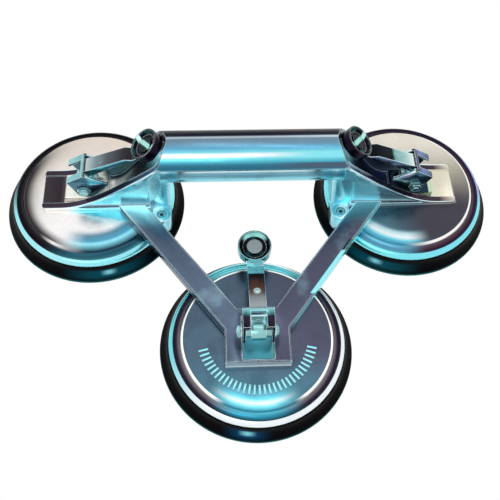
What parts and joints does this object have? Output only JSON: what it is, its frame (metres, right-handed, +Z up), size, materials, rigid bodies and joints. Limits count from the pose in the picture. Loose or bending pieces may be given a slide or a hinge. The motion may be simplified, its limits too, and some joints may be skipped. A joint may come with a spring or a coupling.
{
  "type": "floor tile suction lifter",
  "caption": "Suction lifter for floor tiles and panels: round rubber pads under cast discs, cam levers with thumb cups, a tubular cast handle and a V-shaped plate",
  "frame": {"origin": "middle of the footprint's bounding box, on the surface that the pads stand on", "axes": "+X along the handle to the right cup, +Y from the front cup towards the handle, +Z up"},
  "size_m": [0.3302, 0.2276, 0.0755],
  "materials": {
    "handle_cast": "polished cast aluminium",
    "plate_cast": "grey anodised aluminium casting with bright cut edges",
    "disc_cast": "satin aluminium casting with a bright turned rim",
    "pad_rubber": "glossy black rubber",
    "wear_steel": "ground steel, rubbed by the cams",
    "stud_steel": "turned steel",
    "pin_steel": "zinc plated steel",
    "lever_chrome": "chromed pressed steel",
    "thumb_chrome": "chromed pressed steel with a dark dish",
    "rivet_steel": "satin steel rivet head",
    "screw_steel": "dark steel screws"
  },
  "bodies": {
    "frame": {"handle": "handle_cast", "v_plate": "plate_cast", "saddle_screws": "screw_steel", "plate_screws": "screw_steel", "boss_screws": "screw_steel", "left_pad": "pad_rubber", "left_disc": "disc_cast", "left_wear_plate": "wear_steel", "right_pad": "pad_rubber", "right_disc": "disc_cast", "right_wear_plate": "wear_steel", "front_pad": "pad_rubber", "front_disc": "disc_cast", "front_wear_plate": "wear_steel"},
    "left_stud_unit": {"left_eye_stud": "stud_steel", "left_foot_plate": "stud_steel", "left_cross_pin": "pin_steel", "left_pin_nut": "pin_steel", "left_pin_washers": "pin_steel", "left_pin_spacers": "pin_steel"},
    "left_lever_unit": {"left_lever": "lever_chrome", "left_thumb_cup": "thumb_chrome", "left_thumb_rivet": "rivet_steel"},
    "right_stud_unit": {"right_eye_stud": "stud_steel", "right_foot_plate": "stud_steel", "right_cross_pin": "pin_steel", "right_pin_nut": "pin_steel", "right_pin_washers": "pin_steel", "right_pin_spacers": "pin_steel"},
    "right_lever_unit": {"right_lever": "lever_chrome", "right_thumb_cup": "thumb_chrome", "right_thumb_rivet": "rivet_steel"},
    "front_stud_unit": {"front_eye_stud": "stud_steel", "front_foot_plate": "stud_steel", "front_cross_pin": "pin_steel", "front_pin_nut": "pin_steel", "front_pin_washers": "pin_steel", "front_pin_spacers": "pin_steel"},
    "front_lever_unit": {"front_lever": "lever_chrome", "front_thumb_cup": "thumb_chrome", "front_thumb_rivet": "rivet_steel"}
  },
  "joints": [
    {"name": "left_stud_slide", "type": "slide", "parent": "frame", "child": "left_stud_unit", "axis": [0, 0, 1], "range_m": [-0.00194, 0]},
    {"name": "left_lever_hinge", "type": "hinge", "parent": "left_stud_unit", "child": "left_lever_unit", "pos_m": [-0.1081, 0.05375, 0.0329], "axis": [0, -1, 0], "range_deg": [0, 66.4]},
    {"name": "right_stud_slide", "type": "slide", "parent": "frame", "child": "right_stud_unit", "axis": [0, 0, 1], "range_m": [-0.00194, 0]},
    {"name": "right_lever_hinge", "type": "hinge", "parent": "right_stud_unit", "child": "right_lever_unit", "pos_m": [0.1081, 0.05375, 0.0329], "axis": [0, 1, 0], "range_deg": [0, 66.4]},
    {"name": "front_stud_slide", "type": "slide", "parent": "frame", "child": "front_stud_unit", "axis": [0, 0, 1], "range_m": [-0.003, 0]},
    {"name": "front_lever_hinge", "type": "hinge", "parent": "front_stud_unit", "child": "front_lever_unit", "pos_m": [0, -0.05675, 0.03395], "axis": [1, 0, 0], "range_deg": [0, 102.4]}
  ],
  "couplings": [
    {"joint": "left_lever_hinge", "follows": "left_stud_slide", "rad_per_m": -595.74},
    {"joint": "right_lever_hinge", "follows": "right_stud_slide", "rad_per_m": -595.74},
    {"joint": "front_lever_hinge", "follows": "front_stud_slide", "rad_per_m": -595.74}
  ]
}
